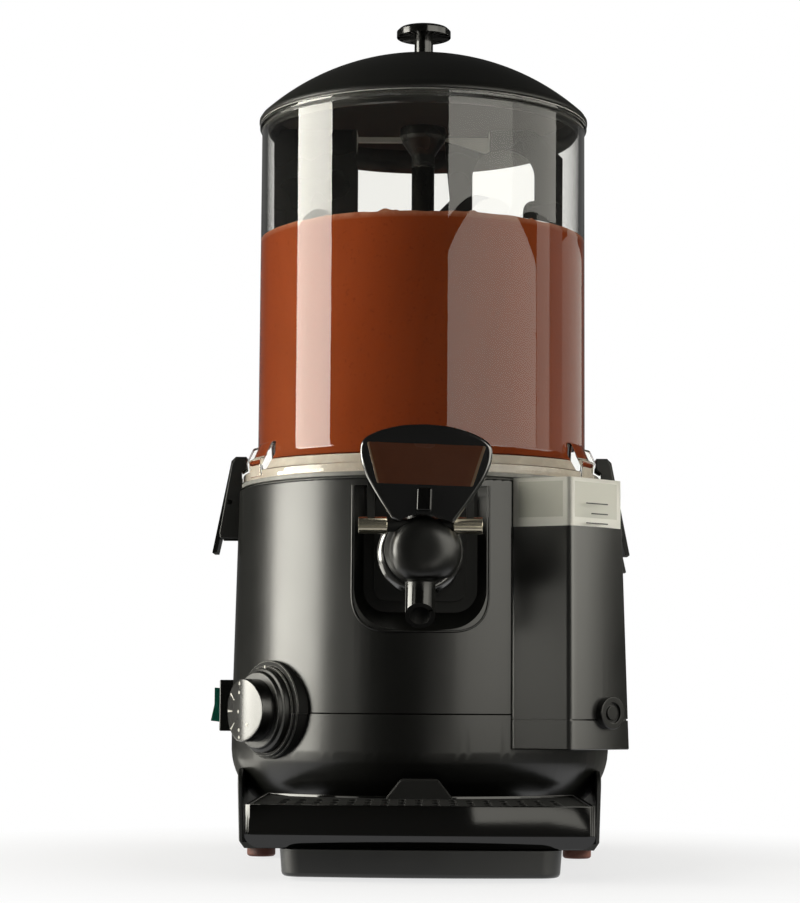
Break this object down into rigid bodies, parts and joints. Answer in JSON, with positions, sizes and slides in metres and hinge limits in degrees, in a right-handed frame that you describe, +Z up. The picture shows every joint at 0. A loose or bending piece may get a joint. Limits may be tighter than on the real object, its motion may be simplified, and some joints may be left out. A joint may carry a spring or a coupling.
{
  "type": "hot chocolate dispenser",
  "caption": "Countertop hot chocolate dispenser: clear stirred bowl with domed lid on a heated black casing, lever tap, water box, latches, thermostat, switch and drip tray.",
  "frame": {"origin": "on the floor, in the middle of the whole machine's footprint", "axes": "+Z up, -Y towards the front (tap and tray), +X towards the water box's side"},
  "size_m": [0.289, 0.41, 0.58],
  "materials": {
    "black_satin": "satin black moulding",
    "black_gloss": "glossy black moulding",
    "clear": "clear moulding",
    "grey_seal": "grey sealing ring",
    "black_rubber": "black seal",
    "foot_rubber": "red-brown rubber",
    "steel": "brushed",
    "nickel": "warm bright plating",
    "brass": "turned",
    "white_plastic": "off-white moulding",
    "brown_panel": "brown panel",
    "green": "green translucent cap",
    "chocolate": "liquid chocolate",
    "motor_metal": "zinc grey"
  },
  "bodies": {
    "housing": {"base_frame": "black_satin", "lower_casing": "black_satin", "upper_casing": "black_satin", "tap_plate": "black_satin", "latch_brackets": "black_satin", "thermostat_bezel": "black_satin", "thermostat_body": "black_satin", "switch_frame": "black_satin", "box_cover": "black_satin", "cable_gland": "black_satin", "terminal_block": "black_satin", "safety_cutout": "black_satin", "tap_ring": "black_gloss", "tap_body": "black_gloss", "tap_cap": "black_gloss", "bowl": "clear", "water_tank": "clear", "bowl_gasket": "grey_seal", "tap_gasket": "black_rubber", "rubber_feet": "foot_rubber", "inner_pot": "steel", "water_jacket": "steel", "heater_ring": "steel", "centre_tube": "steel", "idler_axle": "steel", "latch_pins": "steel", "latch_springs": "steel", "screws": "steel", "heater_nuts": "brass", "water_pipe": "brass", "shaft_bushes": "white_plastic", "gear_case": "white_plastic", "gear_cover": "white_plastic", "motor_can": "motor_metal"},
    "lid": {"lid": "black_satin", "lid_knob": "black_satin", "lid_screw": "steel"},
    "stirrer": {"drive_shaft": "steel", "agitator_hub": "black_satin", "left_paddle": "black_satin", "right_paddle": "black_satin", "output_gear": "white_plastic", "chocolate": "chocolate"},
    "idler": {"idler_gear": "white_plastic"},
    "motor_rotor": {"motor_rotor": "motor_metal", "motor_pinion": "brass"},
    "tap_handle": {"tap_handle": "black_satin", "handle_badge": "brown_panel", "tap_pin": "steel", "pin_sleeves": "nickel"},
    "tap_plunger": {"tap_plunger": "white_plastic", "plunger_spring": "steel"},
    "left_latch": {"left_latch": "black_satin"},
    "right_latch": {"right_latch": "black_satin"},
    "thermostat_knob": {"thermostat_knob": "black_satin", "thermostat_shaft": "steel"},
    "rocker": {"rocker": "green"},
    "drip_tray": {"drip_tray": "black_satin"},
    "drip_grid": {"drip_grid": "black_satin"},
    "drain_plug": {"drain_plug": "black_satin"}
  },
  "joints": [
    {"name": "lid_lift", "type": "slide", "parent": "housing", "child": "lid", "axis": [0, 0, 1], "range_m": [0, 0.1]},
    {"name": "stirrer_spin", "type": "hinge", "parent": "housing", "child": "stirrer", "pos_m": [0, 0.07, 0.3], "axis": [0, 0, 1], "continuous": true},
    {"name": "idler_spin", "type": "hinge", "parent": "housing", "child": "idler", "pos_m": [0.02995, 0.09257, 0.08], "axis": [0, 0, 1], "continuous": true},
    {"name": "motor_spin", "type": "hinge", "parent": "housing", "child": "motor_rotor", "pos_m": [0, 0.11514, 0.06], "axis": [0, 0, 1], "continuous": true},
    {"name": "handle_tilt", "type": "hinge", "parent": "housing", "child": "tap_handle", "pos_m": [0, -0.1185, 0.212], "axis": [1, 0, 0], "range_deg": [0, 25], "stiffness_Nm_per_rad": 0.6, "springref_deg": -5.73},
    {"name": "plunger_lift", "type": "slide", "parent": "housing", "child": "tap_plunger", "axis": [0, 0, 1], "range_m": [0, 0.0056], "deforming": ["plunger_spring"]},
    {"name": "left_latch_swing", "type": "hinge", "parent": "housing", "child": "left_latch", "pos_m": [-0.1325, 0.07, 0.24], "axis": [0, -1, 0], "range_deg": [0, 14], "stiffness_Nm_per_rad": 0.3, "springref_deg": -8.59},
    {"name": "right_latch_swing", "type": "hinge", "parent": "housing", "child": "right_latch", "pos_m": [0.1325, 0.07, 0.24], "axis": [0, 1, 0], "range_deg": [0, 14], "stiffness_Nm_per_rad": 0.3, "springref_deg": -8.59},
    {"name": "thermostat_turn", "type": "hinge", "parent": "housing", "child": "thermostat_knob", "pos_m": [-0.09691, -0.01131, 0.097], "axis": [-0.766, -0.6428, 0], "range_deg": [-270, 0]},
    {"name": "rocker_press", "type": "hinge", "parent": "housing", "child": "rocker", "pos_m": [-0.1355, 0.07, 0.1], "axis": [0, -1, 0], "range_deg": [0, 12]},
    {"name": "tray_slide", "type": "slide", "parent": "housing", "child": "drip_tray", "axis": [0, -1, 0], "range_m": [0, 0.12]},
    {"name": "grid_lift", "type": "slide", "parent": "drip_tray", "child": "drip_grid", "axis": [0, 0, 1], "range_m": [0, 0.02]},
    {"name": "drain_plug_pull", "type": "slide", "parent": "housing", "child": "drain_plug", "axis": [0.6421, -0.7666, 0], "range_m": [0, 0.025]}
  ],
  "couplings": [
    {"joint": "idler_spin", "follows": "stirrer_spin", "ratio": -2.5714},
    {"joint": "motor_spin", "follows": "stirrer_spin", "ratio": 6.6122},
    {"joint": "plunger_lift", "follows": "handle_tilt", "m_per_rad": 0.0122}
  ]
}
